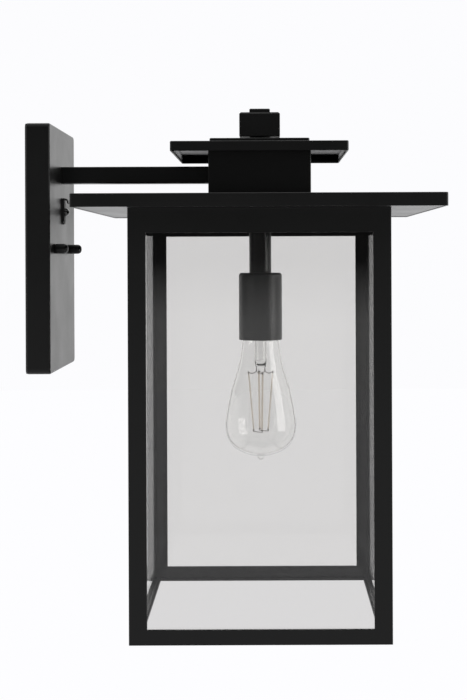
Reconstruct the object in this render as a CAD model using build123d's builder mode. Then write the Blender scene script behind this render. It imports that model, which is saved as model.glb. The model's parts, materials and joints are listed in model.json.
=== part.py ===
from build123d import *
from math import cos, radians, sin, sqrt
import os

# Outdoor wall lantern. The wall is the plane X = 0, +X points away from it and +Z is up.
# The origin is the middle of the back plate, on the wall. All lengths are in millimetres.

# ---------------------------------------------------------------- driving dimensions
SHEET = 1.2  # folded steel sheet of the roofs and tubes
FIT = 0.3  # clearance between pieces that turn against each other

PLATE_W, PLATE_H, PLATE_OUT = 136.0, 214.0, 21.0  # back plate: width, height, front face from the wall
PLATE_WALL, PLATE_CORNER, PLATE_EDGE = 1.5, 4.5, 1.6
GASKET_T, GASKET_BAND, GASKET_IN = 1.5, 5.0, 0.3  # foam gasket, set in a little from the plate's edge

STRAP_T, STRAP_W = 2.0, 25.0  # pressed mounting strap, a cross
STRAP_LONG, STRAP_WIDE, STRAP_CORNER = 106.0, 102.0, 4.0
BOX_SPACING, BOX_SLOT, BOX_HOLE_R = 79.4, 15.0, 2.5  # slots for the wall box's own screws
STUD_R, STUD_Y, STUD_END, STUD_EDGE, STUD_PLAY = 2.08, 40.0, 28.0, 0.4, 0.4
LOCKNUT_FLATS, LOCKNUT_T = 8.8, 3.0
GROUND_Z, GROUND_R, GROUND_FLATS, GROUND_HEAD = -17.0, 2.4, 8.4, 3.0
DRIVER_LONG, DRIVER_WIDE, DRIVER_DEEP = 7.0, 1.1, 1.2  # slot in the ground screw's head

CAP_NUT_R, CAP_NUT_LEN, CAP_NUT_TIP, CAP_NUT_EDGE, CAP_NUT_SPARE = 4.3, 11.0, 3.6, 0.5, 0.6
RUN_FIT = 0.05  # running clearance of a thread's own bore

CELL_W, CELL_H, CELL_T, CELL_Z = 8.6, 23.6, 2.1, 34.0  # dusk sensor's bezel on the back plate
CELL_CORNER, CELL_EDGE = 2.4, 0.6
CELL_LENS_R, CELL_LENS_Z, CELL_LENS_ROUND, CELL_OUT = 3.6, 33.2, 2.6, 6.0
CELL_HOOD_H, CELL_HOOD_IN, CELL_HOOD_OUT = 2.6, 0.6, 5.6
MODULE_W, MODULE_H, MODULE_BACK, MODULE_CORNER = 16.0, 24.0, 5.0, 1.5

ARM, ARM_Z, ARM_CORNER = 15.0, 66.1, 1.2  # square arm and the height of its middle
NIPPLE_R, NIPPLE_BORE = 4.8, 3.6  # lamp thread, used by the arm and by the centre pipe
NIPPLE_PAST_NUT, NIPPLE_IN_PLUG, PLUG = 2.0, 9.0, 10.0
NUT_FLATS, NUT_T = 14.0, 3.5

CENTRE_X = 199.0  # the lantern's upright centre line
CAGE = 216.0  # outside of the square cage
CAGE_BOTTOM, RAIL_T = -325.0, 2.0
POST_LEG, CAGE_CORNER = 15.0, 0.8
TOP_RAIL, BOTTOM_RAIL = 19.8, 12.6  # heights seen on the front faces
TOP_LEDGE, BOTTOM_LEDGE = 15.0, 8.8  # inward legs of the two rings
ROOF, ROOF_BOTTOM, ROOF_TOP, ROOF_EDGE, ROOF_CORNER = 298.0, 32.1, 42.9, 0.9, 2.0
SOFFIT_T, SOFFIT_IN, SPACER_R = 1.5, 0.5, 8.8
COLLAR, COLLAR_WALL, COLLAR_EDGE = 89.2, 1.5, 1.0
UPPER_ROOF, UPPER_BOTTOM, UPPER_TOP = 151.0, 82.0, 90.4
CAP, CAP_TOP = 87.0, 95.7
WASHER_R, FINIAL_BOTTOM, FINIAL_GAP = 9.35, 99.3, 0.1
FINIAL, FINIAL_TOP, FINIAL_BEVEL, FINIAL_LOW_BEVEL = 36.1, 120.9, 1.4, 0.6
BUTTON, BUTTON_TOP, BUTTON_BEVEL = 18.4, 125.0, 0.8

GLASS_T, GLASS_TOP, GLASS_PLAY, GLASS_EDGE = 3.0, 26.0, 0.5, 0.3
CLIP_X, CLIP_W, CLIP_T, CLIP_DOWN, CLIP_TAIL = 62.0, 10.0, 1.0, 13.0, 5.0
CLIP_SCREW_R, CLIP_SCREW_IN, CLIP_SCREW_PAST, CLIP_HEAD = 1.6, 98.0, 1.5, 1.8

STEM_R, STEM_BOTTOM = 9.9, -22.1
COVER_R, COVER_BOTTOM, COVER_EDGE = 19.4, -82.2, 1.2
SOCKET_R, SOCKET_BOTTOM, SOCKET_FLOOR_T = 17.5, -75.0, 6.0
SOCKET_WELL_R, SOCKET_WELL, SOCKET_EDGE = 12.0, 10.0, 0.8
BRACKET_W, BRACKET_SCREW_R, BRACKET_SCREW, BRACKET_HEAD_R = 15.0, 1.4, 8.0, 2.5
SCREW_HEAD = 1.8
SOCKET_BORE_R, TERMINAL_Y, TERMINAL_R = 14.2, 8.5, 2.2
SHELL_R, SHELL_T, SHELL_WAVE, SHELL_RINGS, SHELL_LOW, SHELL_LIP_R = 13.65, 0.4, 0.15, 8, -74.0, 11.0
TAB_L, TAB_W = 5.0, 6.0  # the shell's tab under its terminal screw
CONTACT_T, CONTACT_W, CONTACT_END, CONTACT_BEND, CONTACT_TIP = 0.5, 6.0, 1.8, 2.5, 2.0

BULB_CAP_R, BULB_CAP_WAVE, BULB_CAP_T = 12.65, 0.35, 0.4
BULB_CAP_TOP, BULB_CAP_BOTTOM, BULB_CAP_RINGS, BULB_CAP_LIP_R = -52.0, -75.8, 6, 10.0
BULB_CONTACT_R, BULB_CONTACT_T, BULB_CONTACT_ROUND = 4.4, 1.6, 1.2
VITRITE_SINK, VITRITE_LOW_R, VITRITE_TOP_R = 0.6, 10.6, 5.0
BULB_GLASS_T = 0.8
BULB_TIP, BULB_TIP_R = -190.5, 0.3
FILAMENTS, FILAMENT_R, FILAMENT_TURN = 4, 0.9, 9.0
FILAMENT_TOP, FILAMENT_END = (11.0, -111.6), (6.5, -163.9)  # distance from the axis, height
WIRE_R, KNEE_OVER, HOOK_OVER, RING_UNDER = 0.45, 1.2, 0.8, 1.4  # wires over and under the filaments

LEAD_R, LEAD_Y, LEAD_IN = 1.0, 1.6, 2.5  # insulated leads, beside the middle plane
LEAD_BENDS = [6.0, 9.0, 3.0]

# ---------------------------------------------------------------- worked out from them
HALF = CAGE / 2
CAGE_TOP = ROOF_BOTTOM + SOFFIT_IN
SOFFIT_TOP = CAGE_TOP + SOFFIT_T
TOP_RAIL_LOW = ROOF_BOTTOM - TOP_RAIL
BOTTOM_RAIL_TOP = CAGE_BOTTOM + BOTTOM_RAIL
GLASS_FACE = HALF - RAIL_T
GLASS_W = 2 * GLASS_FACE - GLASS_T - GLASS_PLAY
PLATE_IN = PLATE_OUT - PLATE_WALL
NIPPLE_BACK = PLATE_IN - NUT_T - NIPPLE_PAST_NUT
CLIP_TOP, CLIP_FACE = CAGE_TOP - RAIL_T, GLASS_FACE - GLASS_T
HOLE_R = NIPPLE_R + 0.4
COVER_IN = STEM_BOTTOM - SHEET
BRACKET_TOP = COVER_IN - NUT_T
SOCKET_TOP = BRACKET_TOP - SHEET
BRACKET_SCREW_Y = (SOCKET_WELL_R + SOCKET_R) / 2
WELL_FLOOR = SOCKET_TOP - SOCKET_WELL
SOCKET_ROOF = WELL_FLOOR - SOCKET_FLOOR_T
PIPE_BOTTOM, PIPE_TOP = SOCKET_TOP - 2, 112.0
SLOT_LOW, SLOT_HIGH, SLOT_PLAY = ARM_Z - 14, ARM_Z + 12, 0.2  # the pipe's slot for the leads
BULB_CONTACT_TOP = SOCKET_ROOF - 3.3

os.makedirs("parts", exist_ok=True)


def save(piece, name):
    """Label a finished piece and write its file."""
    piece.part.label = name
    export_step(piece.part, f"parts/{name}.step")


def level(height):
    """Level plane at a height, centred on the lantern's centre line."""
    return Plane.XY.offset(height).move(Location((CENTRE_X, 0, 0)))


def side(quarter, height):
    """Level plane turned so that its -y faces one side: 0 near, 1 out, 2 far, 3 wall."""
    turn = radians(90 * quarter)
    return Plane(origin=(CENTRE_X, 0, height), x_dir=(cos(turn), sin(turn), 0), z_dir=(0, 0, 1))


def upright():
    """Plane through the centre line for profiles of revolution: x is the radius, y the height."""
    return Plane(origin=(CENTRE_X, 0, 0), x_dir=(1, 0, 0), z_dir=(0, -1, 0))


CENTRE_LINE = Axis((CENTRE_X, 0, 0), (0, 0, 1))
SIDES = ["near", "out", "far", "wall"]

# ---------------------------------------------------------------- wall side
with BuildPart() as wall_gasket:
    with BuildSketch(Plane.YZ):
        RectangleRounded(PLATE_W - 2 * GASKET_IN, PLATE_H - 2 * GASKET_IN, PLATE_CORNER)
        Rectangle(PLATE_W - 2 * GASKET_BAND, PLATE_H - 2 * GASKET_BAND, mode=Mode.SUBTRACT)
    extrude(amount=GASKET_T)
save(wall_gasket, "wall_gasket")

with BuildPart() as backplate:
    with BuildSketch(Plane.YZ.offset(GASKET_T)):
        RectangleRounded(PLATE_W, PLATE_H, PLATE_CORNER)
    extrude(amount=PLATE_OUT - GASKET_T)
    fillet(backplate.faces().sort_by(Axis.X)[-1].edges(), radius=PLATE_EDGE)
    with BuildSketch(Plane.YZ.offset(GASKET_T)):
        RectangleRounded(PLATE_W - 2 * PLATE_WALL, PLATE_H - 2 * PLATE_WALL, PLATE_CORNER - PLATE_WALL)
    extrude(amount=PLATE_IN - GASKET_T, mode=Mode.SUBTRACT)
    with BuildSketch(Plane.YZ.offset(PLATE_IN)):
        with Locations((-STUD_Y, 0), (STUD_Y, 0)):
            Circle(STUD_R + STUD_PLAY)
        with Locations((0, ARM_Z)):
            Circle(NIPPLE_R)
        with Locations((0, CELL_LENS_Z)):
            Circle(CELL_LENS_R)
    extrude(amount=PLATE_WALL, mode=Mode.SUBTRACT)
save(backplate, "backplate")

with BuildPart() as mounting_strap:
    with BuildSketch(Plane.YZ):
        RectangleRounded(STRAP_W, STRAP_LONG, STRAP_CORNER)
        RectangleRounded(STRAP_WIDE, STRAP_W, STRAP_CORNER)
        with Locations((0, -BOX_SPACING / 2), (0, BOX_SPACING / 2)):
            SlotOverall(BOX_SLOT, 2 * BOX_HOLE_R, rotation=90, mode=Mode.SUBTRACT)
        with Locations((-STUD_Y, 0), (STUD_Y, 0)):
            Circle(STUD_R, mode=Mode.SUBTRACT)
        with Locations((0, GROUND_Z)):
            Circle(GROUND_R, mode=Mode.SUBTRACT)
    extrude(amount=STRAP_T)
save(mounting_strap, "mounting_strap")

with BuildPart() as strap_studs:
    with BuildSketch(Plane.YZ):
        with Locations((-STUD_Y, 0), (STUD_Y, 0)):
            Circle(STUD_R)
    extrude(amount=STUD_END)
    chamfer(strap_studs.faces().group_by(Axis.X)[-1].edges(), length=STUD_EDGE)
save(strap_studs, "strap_studs")

with BuildPart() as stud_locknuts:
    with BuildSketch(Plane.YZ.offset(STRAP_T)):
        with Locations((-STUD_Y, 0), (STUD_Y, 0)):
            RegularPolygon(LOCKNUT_FLATS / 2, 6, major_radius=False)
            Circle(STUD_R, mode=Mode.SUBTRACT)
    extrude(amount=LOCKNUT_T)
save(stud_locknuts, "stud_locknuts")

with BuildPart() as ground_screw:
    with BuildSketch(Plane.YZ):
        with Locations((0, GROUND_Z)):
            Circle(GROUND_R)
    extrude(amount=STRAP_T)
    with BuildSketch(Plane.YZ.offset(STRAP_T)):
        with Locations((0, GROUND_Z)):
            RegularPolygon(GROUND_FLATS / 2, 6, major_radius=False)
    extrude(amount=GROUND_HEAD)
    with BuildSketch(Plane.YZ.offset(STRAP_T + GROUND_HEAD)):
        with Locations((0, GROUND_Z)):
            Rectangle(DRIVER_LONG, DRIVER_WIDE)
    extrude(amount=-DRIVER_DEEP, mode=Mode.SUBTRACT)
save(ground_screw, "ground_screw")


def cap_nut(y):
    """Plain round cap nut: a blind bore over the end of its stud, a well rounded tip."""
    with BuildPart() as nut:
        with BuildSketch(Plane.YZ.offset(PLATE_OUT)):
            with Locations((y, 0)):
                Circle(CAP_NUT_R)
        extrude(amount=CAP_NUT_LEN)
        fillet(nut.faces().sort_by(Axis.X)[-1].edges(), radius=CAP_NUT_TIP)
        chamfer(nut.faces().sort_by(Axis.X)[0].edges(), length=CAP_NUT_EDGE)
        with BuildSketch(Plane.YZ.offset(PLATE_OUT)):
            with Locations((y, 0)):
                Circle(STUD_R + RUN_FIT)
        extrude(amount=STUD_END - PLATE_OUT + CAP_NUT_SPARE, mode=Mode.SUBTRACT)
    return nut


save(cap_nut(-STUD_Y), "cap_nut_near")
save(cap_nut(STUD_Y), "cap_nut_far")

# ---------------------------------------------------------------- dusk sensor
with BuildPart() as photocell_bezel:
    with BuildSketch(Plane.YZ.offset(PLATE_OUT)):
        with Locations((0, CELL_Z)):
            RectangleRounded(CELL_W, CELL_H, CELL_CORNER)
        with Locations((0, CELL_LENS_Z)):
            Circle(CELL_LENS_R, mode=Mode.SUBTRACT)
    extrude(amount=CELL_T)
    with BuildSketch(Plane.YZ.offset(PLATE_OUT + CELL_T)):
        with Locations((0, CELL_Z + CELL_H / 2 - CELL_HOOD_H / 2 - CELL_HOOD_IN / 2)):
            SlotOverall(CELL_W - 2 * CELL_HOOD_IN, CELL_HOOD_H)
    extrude(amount=CELL_HOOD_OUT - CELL_T)
    fillet(photocell_bezel.faces().sort_by(Axis.X)[-1].edges(), radius=CELL_EDGE)
save(photocell_bezel, "photocell_bezel")

with BuildPart() as photocell_lens:
    with BuildSketch(Plane.YZ.offset(PLATE_IN)):
        with Locations((0, CELL_LENS_Z)):
            Circle(CELL_LENS_R)
    extrude(amount=PLATE_WALL + CELL_OUT)
    fillet(photocell_lens.faces().sort_by(Axis.X)[-1].edges(), radius=CELL_LENS_ROUND)
save(photocell_lens, "photocell_lens")

with BuildPart() as photocell_module:
    with BuildSketch(Plane.YZ.offset(MODULE_BACK)):
        with Locations((0, CELL_Z)):
            RectangleRounded(MODULE_W, MODULE_H, MODULE_CORNER)
    extrude(amount=PLATE_IN - MODULE_BACK)
save(photocell_module, "photocell_module")

# ---------------------------------------------------------------- arm
with BuildPart() as arm_tube:
    with BuildSketch(Plane.YZ.offset(PLATE_OUT)):
        with Locations((0, ARM_Z)):
            RectangleRounded(ARM, ARM, ARM_CORNER)
            Rectangle(ARM - 2 * SHEET, ARM - 2 * SHEET, mode=Mode.SUBTRACT)
    extrude(amount=CENTRE_X - COLLAR / 2 - PLATE_OUT)
save(arm_tube, "arm_tube")

with BuildPart() as arm_plug:
    with BuildSketch(Plane.YZ.offset(PLATE_OUT)):
        with Locations((0, ARM_Z)):
            Rectangle(ARM - 2 * SHEET, ARM - 2 * SHEET)
            Circle(NIPPLE_R, mode=Mode.SUBTRACT)
    extrude(amount=PLUG)
save(arm_plug, "arm_plug")

with BuildPart() as arm_nipple:
    with BuildSketch(Plane.YZ.offset(NIPPLE_BACK)):
        with Locations((0, ARM_Z)):
            Circle(NIPPLE_R)
            Circle(NIPPLE_BORE, mode=Mode.SUBTRACT)
    extrude(amount=PLATE_OUT + NIPPLE_IN_PLUG - NIPPLE_BACK)
save(arm_nipple, "arm_nipple")

with BuildPart() as arm_nut:
    with BuildSketch(Plane.YZ.offset(PLATE_IN - NUT_T)):
        with Locations((0, ARM_Z)):
            RegularPolygon(NUT_FLATS / 2, 6, major_radius=False)
            Circle(NIPPLE_R, mode=Mode.SUBTRACT)
    extrude(amount=NUT_T)
save(arm_nut, "arm_nut")

with BuildPart() as collar:
    with BuildSketch(level(ROOF_TOP)):
        RectangleRounded(COLLAR, COLLAR, COLLAR_EDGE)
        Rectangle(COLLAR - 2 * COLLAR_WALL, COLLAR - 2 * COLLAR_WALL, mode=Mode.SUBTRACT)
    extrude(amount=UPPER_TOP - SHEET - ROOF_TOP)
    with BuildSketch(Plane.YZ.offset(CENTRE_X - COLLAR / 2 - 1)):
        with Locations((0, ARM_Z)):
            Circle(NIPPLE_R)
    extrude(amount=COLLAR_WALL + 2, mode=Mode.SUBTRACT)
save(collar, "collar")


# ---------------------------------------------------------------- roofs and finial
def pan(width, low, high, edge):
    """Square sheet pan, open below, with a centre hole for the lamp pipe."""
    with BuildPart() as piece:
        with BuildSketch(level(low)):
            RectangleRounded(width, width, ROOF_CORNER)
        extrude(amount=high - low)
        fillet(piece.faces().sort_by(Axis.Z)[-1].edges(), radius=edge)
        with BuildSketch(level(low)):
            Rectangle(width - 2 * SHEET, width - 2 * SHEET)
        extrude(amount=high - low - SHEET, mode=Mode.SUBTRACT)
        with BuildSketch(level(low)):
            Circle(HOLE_R)
        extrude(amount=high - low, mode=Mode.SUBTRACT)
    return piece


save(pan(ROOF, ROOF_BOTTOM, ROOF_TOP, ROOF_EDGE), "roof_pan")
save(pan(UPPER_ROOF, UPPER_BOTTOM, UPPER_TOP, ROOF_EDGE), "upper_roof")
save(pan(CAP, UPPER_TOP, CAP_TOP, ROOF_EDGE), "upper_cap")

clip_places = [(x, -CLIP_SCREW_IN) for x in (-CLIP_X, CLIP_X)]
with BuildPart() as roof_soffit:
    with BuildSketch(level(CAGE_TOP)):
        Rectangle(ROOF - 2 * SHEET, ROOF - 2 * SHEET)
        Circle(HOLE_R, mode=Mode.SUBTRACT)
    extrude(amount=SOFFIT_T)
    for quarter in range(4):
        with BuildSketch(side(quarter, CAGE_TOP)):
            with Locations(*clip_places):
                Circle(CLIP_SCREW_R)
        extrude(amount=SOFFIT_T, mode=Mode.SUBTRACT)
save(roof_soffit, "roof_soffit")

with BuildPart() as roof_spacer:
    with BuildSketch(level(SOFFIT_TOP)):
        Circle(SPACER_R)
        Circle(HOLE_R, mode=Mode.SUBTRACT)
    extrude(amount=ROOF_TOP - SHEET - SOFFIT_TOP)
save(roof_spacer, "roof_spacer")

with BuildPart() as finial_washer:
    with BuildSketch(level(CAP_TOP)):
        Circle(WASHER_R)
        Circle(HOLE_R, mode=Mode.SUBTRACT)
    extrude(amount=FINIAL_BOTTOM - FINIAL_GAP - CAP_TOP)
save(finial_washer, "finial_washer")

with BuildPart() as finial:
    with BuildSketch(level(FINIAL_BOTTOM)):
        Rectangle(FINIAL, FINIAL)
    extrude(amount=FINIAL_TOP - FINIAL_BOTTOM)
    chamfer(finial.faces().sort_by(Axis.Z)[-1].edges(), length=FINIAL_BEVEL)
    chamfer(finial.faces().sort_by(Axis.Z)[0].edges(), length=FINIAL_LOW_BEVEL)
    with BuildSketch(level(FINIAL_BOTTOM)):
        Circle(NIPPLE_R + RUN_FIT)
    extrude(amount=PIPE_TOP + 1 - FINIAL_BOTTOM, mode=Mode.SUBTRACT)
save(finial, "finial")

with BuildPart() as finial_button:
    with BuildSketch(level(FINIAL_TOP)):
        Rectangle(BUTTON, BUTTON)
    extrude(amount=BUTTON_TOP - FINIAL_TOP)
    chamfer(finial_button.faces().sort_by(Axis.Z)[-1].edges(), length=BUTTON_BEVEL)
save(finial_button, "finial_button")

with BuildPart() as lamp_pipe:
    with BuildSketch(level(PIPE_BOTTOM)):
        Circle(NIPPLE_R)
        Circle(NIPPLE_BORE, mode=Mode.SUBTRACT)
    extrude(amount=PIPE_TOP - PIPE_BOTTOM)
    with BuildSketch(Plane.YZ.offset(CENTRE_X - NIPPLE_R - 1)):
        with Locations((0, (SLOT_LOW + SLOT_HIGH) / 2)):
            SlotOverall(SLOT_HIGH - SLOT_LOW, 2 * (LEAD_Y + LEAD_R + SLOT_PLAY), rotation=90)
    extrude(amount=NIPPLE_R + 1, mode=Mode.SUBTRACT)
save(lamp_pipe, "lamp_pipe")

with BuildPart() as pipe_nuts:
    for bottom in (ROOF_TOP, BRACKET_TOP):
        with BuildSketch(level(bottom)):
            RegularPolygon(NUT_FLATS / 2, 6, major_radius=False)
            Circle(NIPPLE_R, mode=Mode.SUBTRACT)
        extrude(amount=NUT_T)
save(pipe_nuts, "pipe_nuts")


# ---------------------------------------------------------------- cage
def mitred(depth):
    """Strip along the outside of one side of the cage, cut at 45 degrees at both corners."""
    inner = HALF - depth
    Polygon((-HALF, -HALF), (HALF, -HALF), (inner, -inner), (-inner, -inner), align=None)
    RectangleRounded(CAGE, CAGE, CAGE_CORNER, mode=Mode.INTERSECT)


def rail(quarter, low, high, ledge_low, ledge, screws):
    """Angle rail of one side: an upright leg from low to high and an inward ledge."""
    with BuildPart() as piece:
        with BuildSketch(side(quarter, low)):
            mitred(RAIL_T)
        extrude(amount=high - low)
        with BuildSketch(side(quarter, ledge_low)):
            mitred(ledge)
            if screws:
                with Locations(*clip_places):
                    Circle(CLIP_SCREW_R, mode=Mode.SUBTRACT)
        extrude(amount=RAIL_T)
    return piece


for quarter, name in enumerate(SIDES):
    top = rail(quarter, TOP_RAIL_LOW, CAGE_TOP, CAGE_TOP - RAIL_T, TOP_LEDGE, True)
    save(top, f"top_rail_{name}")
    bottom = rail(quarter, CAGE_BOTTOM, BOTTOM_RAIL_TOP, CAGE_BOTTOM, BOTTOM_LEDGE, False)
    save(bottom, f"bottom_rail_{name}")

    with BuildPart() as post:
        with BuildSketch(side(quarter, BOTTOM_RAIL_TOP)):
            RectangleRounded(CAGE, CAGE, CAGE_CORNER)
            Rectangle(2 * GLASS_FACE, 2 * GLASS_FACE, mode=Mode.SUBTRACT)
            with Locations((-HALF, -HALF)):
                Rectangle(POST_LEG, POST_LEG, align=(Align.MIN, Align.MIN), mode=Mode.INTERSECT)
        extrude(amount=TOP_RAIL_LOW - BOTTOM_RAIL_TOP)
    save(post, f"post_{SIDES[quarter - 1]}_{name}")

    with BuildPart() as pane:
        with BuildSketch(side(quarter, CAGE_BOTTOM + RAIL_T)):
            with Locations((-GLASS_FACE, -GLASS_FACE)):
                Rectangle(GLASS_W, GLASS_T, align=(Align.MIN, Align.MIN))
        extrude(amount=GLASS_TOP - CAGE_BOTTOM - RAIL_T)
        chamfer(pane.edges().filter_by(Axis.Z), length=GLASS_EDGE)
    save(pane, f"glass_{name}")

with BuildPart() as glass_clips:
    for quarter in range(4):
        with BuildSketch(side(quarter, CLIP_TOP - CLIP_T)):
            for x, y in clip_places:
                with Locations((x, -(CLIP_FACE + CLIP_SCREW_IN - CLIP_TAIL) / 2)):
                    Rectangle(CLIP_W, CLIP_FACE - CLIP_SCREW_IN + CLIP_TAIL)
                with Locations((x, y)):
                    Circle(CLIP_SCREW_R, mode=Mode.SUBTRACT)
        extrude(amount=CLIP_T)
        with BuildSketch(side(quarter, CLIP_TOP - CLIP_DOWN)):
            for x, y in clip_places:
                with Locations((x, CLIP_T / 2 - CLIP_FACE)):
                    Rectangle(CLIP_W, CLIP_T)
        extrude(amount=CLIP_DOWN - CLIP_T)
save(glass_clips, "glass_clips")

with BuildPart() as clip_screws:
    for quarter in range(4):
        with BuildSketch(side(quarter, CLIP_TOP - CLIP_T)):
            with Locations(*clip_places):
                Circle(CLIP_SCREW_R)
        extrude(amount=SOFFIT_TOP + CLIP_SCREW_PAST - CLIP_TOP + CLIP_T)
        with BuildSketch(side(quarter, CLIP_TOP - CLIP_T)):
            with Locations(*clip_places):
                Circle(2 * CLIP_SCREW_R)
        extrude(amount=-CLIP_HEAD)
save(clip_screws, "clip_screws")

# ---------------------------------------------------------------- stem and socket
with BuildPart() as stem_tube:
    with BuildSketch(level(STEM_BOTTOM)):
        Circle(STEM_R)
        Circle(STEM_R - SHEET, mode=Mode.SUBTRACT)
    extrude(amount=CAGE_TOP - STEM_BOTTOM)
save(stem_tube, "stem_tube")

with BuildPart() as socket_cover:
    with BuildSketch(level(COVER_BOTTOM)):
        Circle(COVER_R)
    extrude(amount=STEM_BOTTOM - COVER_BOTTOM)
    fillet(socket_cover.faces().sort_by(Axis.Z)[-1].edges(), radius=COVER_EDGE)
    with BuildSketch(level(COVER_BOTTOM)):
        Circle(COVER_R - SHEET)
    extrude(amount=COVER_IN - COVER_BOTTOM, mode=Mode.SUBTRACT)
    with BuildSketch(level(COVER_BOTTOM)):
        Circle(NIPPLE_R)
    extrude(amount=STEM_BOTTOM - COVER_BOTTOM, mode=Mode.SUBTRACT)
save(socket_cover, "socket_cover")

with BuildPart() as socket_bracket:
    with BuildSketch(level(SOCKET_TOP)):
        SlotOverall(2 * SOCKET_R, BRACKET_W, rotation=90)
        Circle(NIPPLE_R, mode=Mode.SUBTRACT)
        with Locations((0, -BRACKET_SCREW_Y), (0, BRACKET_SCREW_Y)):
            Circle(BRACKET_SCREW_R, mode=Mode.SUBTRACT)
    extrude(amount=SHEET)
save(socket_bracket, "socket_bracket")

with BuildPart() as socket_insulator:
    with BuildSketch(level(SOCKET_BOTTOM)):
        Circle(SOCKET_R)
    extrude(amount=SOCKET_TOP - SOCKET_BOTTOM)
    fillet(socket_insulator.edges().filter_by(GeomType.CIRCLE), radius=SOCKET_EDGE)
    with BuildSketch(level(SOCKET_TOP)):
        Circle(SOCKET_WELL_R)
    extrude(amount=-SOCKET_WELL, mode=Mode.SUBTRACT)
    with BuildSketch(level(SOCKET_BOTTOM)):
        Circle(SOCKET_BORE_R)
    extrude(amount=SOCKET_ROOF - SOCKET_BOTTOM, mode=Mode.SUBTRACT)
    with BuildSketch(level(SOCKET_TOP)):
        with Locations((0, -BRACKET_SCREW_Y), (0, BRACKET_SCREW_Y)):
            Circle(BRACKET_SCREW_R)
    extrude(amount=-SOCKET_WELL, mode=Mode.SUBTRACT)
    with BuildSketch(level(WELL_FLOOR)):
        with Locations((0, -TERMINAL_Y), (0, TERMINAL_Y)):
            Circle(BRACKET_SCREW_R)
    extrude(amount=-SOCKET_FLOOR_T, mode=Mode.SUBTRACT)
save(socket_insulator, "socket_insulator")


def wave(mean, swing, top, bottom, rings):
    """Heights and radii of a rolled round thread, drawn as closed rings."""
    steps = 2 * rings
    heights = [top + (bottom - top) * i / steps for i in range(steps + 1)]
    return [(mean + swing * (-1) ** i, height) for i, height in enumerate(heights)]


def rolled_shell(mean, swing, thickness, top, bottom, rings, lip_r):
    """Thin sleeve with thread rings, turned in at its top to lip_r."""
    outer = wave(mean + thickness / 2, swing, top, bottom, rings)
    inner = wave(mean - thickness / 2, swing, top, bottom, rings)
    with BuildPart() as sleeve:
        with BuildSketch(upright()):
            with BuildLine():
                lip = top + thickness
                Polyline(outer[0], (outer[0][0], lip), (lip_r, lip), (lip_r, top), inner[0])
                Spline(*inner)
                Line(inner[-1], outer[-1])
                Spline(*outer)
            make_face()
        revolve(axis=CENTRE_LINE)
    return sleeve


SHELL_TOP = SOCKET_ROOF - SHELL_T
with BuildPart() as socket_shell:
    add(rolled_shell(SHELL_R, SHELL_WAVE, SHELL_T, SHELL_TOP, SHELL_LOW, SHELL_RINGS, SHELL_LIP_R).part)
    with BuildSketch(level(SHELL_TOP)):
        with Locations((0, -TERMINAL_Y)):
            Rectangle(TAB_L, TAB_W)
    extrude(amount=SHELL_T)
save(socket_shell, "socket_shell")

with BuildPart() as socket_contact:
    with BuildSketch(Plane.YZ.offset(CENTRE_X - CONTACT_W / 2)):
        with BuildLine():
            strip = Polyline(
                (TERMINAL_Y + CONTACT_END, SOCKET_ROOF),
                (TERMINAL_Y - CONTACT_BEND, SOCKET_ROOF),
                (CONTACT_TIP, BULB_CONTACT_TOP + FIT + CONTACT_T),
                (-CONTACT_TIP, BULB_CONTACT_TOP + FIT + CONTACT_T),
            )
            offset(strip, amount=CONTACT_T, side=Side.LEFT)
        make_face()
    extrude(amount=CONTACT_W)
save(socket_contact, "socket_contact")

with BuildPart() as socket_screws:
    for y, seat, length, head_r in (
        (BRACKET_SCREW_Y, BRACKET_TOP, SHEET + BRACKET_SCREW, BRACKET_HEAD_R),
        (TERMINAL_Y, WELL_FLOOR, SOCKET_FLOOR_T, TERMINAL_R),
    ):
        with BuildSketch(level(seat)):
            with Locations((0, -y), (0, y)):
                Circle(BRACKET_SCREW_R)
        extrude(amount=-length)
        with BuildSketch(level(seat)):
            with Locations((0, -y), (0, y)):
                Circle(head_r)
        extrude(amount=SCREW_HEAD)
save(socket_screws, "socket_screws")

# ---------------------------------------------------------------- bulb
# Outline of the clear pear-shaped bulb, from the neck to the root of its tip, as (radius, height) pairs.
BULB_OUTLINE = [
    (11.8, -70.0), (11.9, -74.5), (13.2, -77.2), (16.3, -82.2), (17.1, -88.0), (19.2, -100.7),
    (22.2, -112.5), (26.0, -124.2), (28.8, -136.8), (31.0, -149.0), (32.0, -158.0), (31.3, -166.0),
    (28.8, -172.9), (23.6, -179.3), (15.5, -183.9), (8.0, -186.2), (3.2, -187.0),
]


def inset(outline, distance):
    """The outline moved inwards by a distance, along the normal at each point."""
    moved = []
    for i, (radius, height) in enumerate(outline):
        before, after = outline[max(i - 1, 0)], outline[min(i + 1, len(outline) - 1)]
        run, drop = after[0] - before[0], after[1] - before[1]
        length = sqrt(run * run + drop * drop)
        moved.append((max(radius + distance * drop / length, 0.0), height - distance * run / length))
    moved[0] = (moved[0][0], outline[0][1])
    return moved + [(0.0, moved[-1][1])]


with BuildPart() as bulb_glass:
    with BuildSketch(upright()):
        with BuildLine():
            inner = inset(BULB_OUTLINE, BULB_GLASS_T)
            neck, root = BULB_OUTLINE[0], BULB_OUTLINE[-1]
            Spline(*BULB_OUTLINE)
            ThreePointArc(root, (0.7 * root[0], BULB_TIP + 1), (BULB_TIP_R, BULB_TIP))
            Polyline((BULB_TIP_R, BULB_TIP), (0, BULB_TIP), inner[-1], inner[-2])
            Spline(*inner[:-1])
            Line(inner[0], neck)
        make_face()
    revolve(axis=CENTRE_LINE)
save(bulb_glass, "bulb_glass")

bulb_cap = rolled_shell(
    BULB_CAP_R, BULB_CAP_WAVE, BULB_CAP_T, BULB_CAP_TOP, BULB_CAP_BOTTOM, BULB_CAP_RINGS, BULB_CAP_LIP_R
)
save(bulb_cap, "bulb_cap")

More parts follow.
